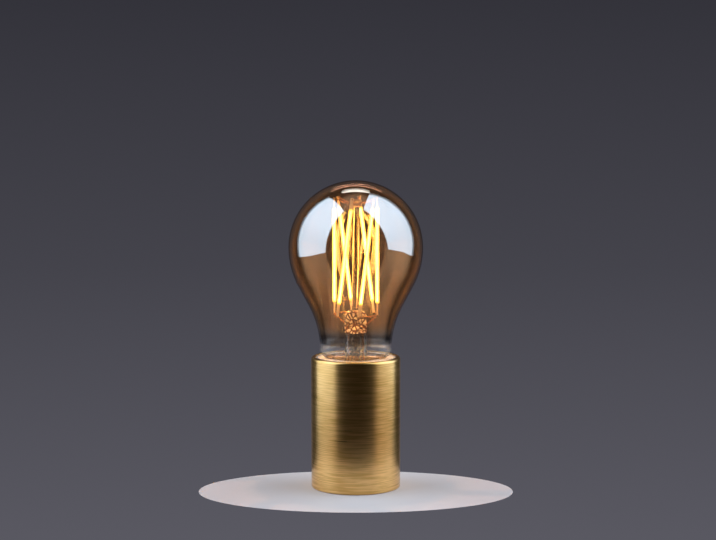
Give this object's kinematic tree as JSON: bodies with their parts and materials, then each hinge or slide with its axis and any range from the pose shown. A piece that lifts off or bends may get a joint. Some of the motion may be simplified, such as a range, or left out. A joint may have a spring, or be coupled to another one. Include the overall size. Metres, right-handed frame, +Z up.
{
  "type": "led filament bulb in lampholder",
  "caption": "Amber-glass LED filament bulb with screw cap, screwed into a cylindrical brushed-brass lampholder with a porcelain core and sprung centre contact.",
  "frame": {"origin": "middle of the holder's flat underside", "axes": "+Z up along the bulb's axis, -Y towards the front, +X to the right seen from the front"},
  "size_m": [0.06, 0.06, 0.1379],
  "materials": {
    "amber_glass": "polished",
    "clear_glass": "polished",
    "copper_wire": "satin",
    "led_phosphor": "matte",
    "nickel_plate": "satin",
    "basing_cement": "matte",
    "black_glass": "gloss",
    "board_green": "satin",
    "black_plastic": "satin",
    "capacitor_sleeve": "gloss",
    "choke_ferrite": "matte",
    "resistor_body": "satin",
    "brushed_brass": "satin",
    "glazed_porcelain": "gloss",
    "plain_brass": "polished",
    "zinc_steel": "satin"
  },
  "bodies": {
    "holder": {"holder_cup": "brushed_brass", "porcelain_core": "glazed_porcelain", "thread_sleeve": "plain_brass", "contact_guide": "plain_brass", "contact_spring": "zinc_steel", "live_strip": "plain_brass", "neutral_strip": "plain_brass", "live_terminal": "plain_brass", "neutral_terminal": "plain_brass", "terminal_screws": "nickel_plate", "core_screws": "nickel_plate", "mounting_bracket": "zinc_steel", "bracket_screws": "nickel_plate", "earth_washer": "nickel_plate", "earth_screw": "plain_brass"},
    "centre_contact": {"contact_plunger": "plain_brass"},
    "bulb_tip": {"cap_insulator": "black_glass", "cap_contact": "nickel_plate"},
    "bulb": {"glass_envelope": "amber_glass", "stem_flare": "clear_glass", "stem_press": "clear_glass", "exhaust_tube": "clear_glass", "centre_rod": "clear_glass", "rod_button": "copper_wire", "top_star": "copper_wire", "live_ring": "copper_wire", "neutral_ring": "copper_wire", "live_lead": "copper_wire", "neutral_lead": "copper_wire", "tip_wire": "copper_wire", "shell_wire": "copper_wire", "filament_1": "led_phosphor", "filament_2": "led_phosphor", "filament_3": "led_phosphor", "filament_4": "led_phosphor", "filament_5": "led_phosphor", "filament_6": "led_phosphor", "upper_tabs": "nickel_plate", "lower_tabs": "nickel_plate", "cap_shell": "nickel_plate", "shell_solder": "nickel_plate", "cap_cement": "basing_cement", "driver_board": "board_green", "rectifier": "black_plastic", "driver_chip": "black_plastic", "smoothing_capacitor": "capacitor_sleeve", "choke": "choke_ferrite", "fusible_resistor": "resistor_body"}
  },
  "joints": [
    {"name": "bulb_lift", "type": "slide", "parent": "holder", "child": "bulb_tip", "axis": [0, 0, 1], "range_m": [0, 0.01815]},
    {"name": "bulb_turn", "type": "hinge", "parent": "bulb_tip", "child": "bulb", "pos_m": [0, 0, 0.05], "axis": [0, 0, 1], "range_deg": [0, 1800]},
    {"name": "contact_press", "type": "slide", "parent": "holder", "child": "centre_contact", "axis": [0, 0, 1], "range_m": [-0.0015, 0], "stiffness_N_per_m": 400, "deforming": ["contact_spring"]}
  ],
  "couplings": [
    {"joint": "bulb_lift", "follows": "bulb_turn", "m_per_rad": 0.00057757}
  ]
}
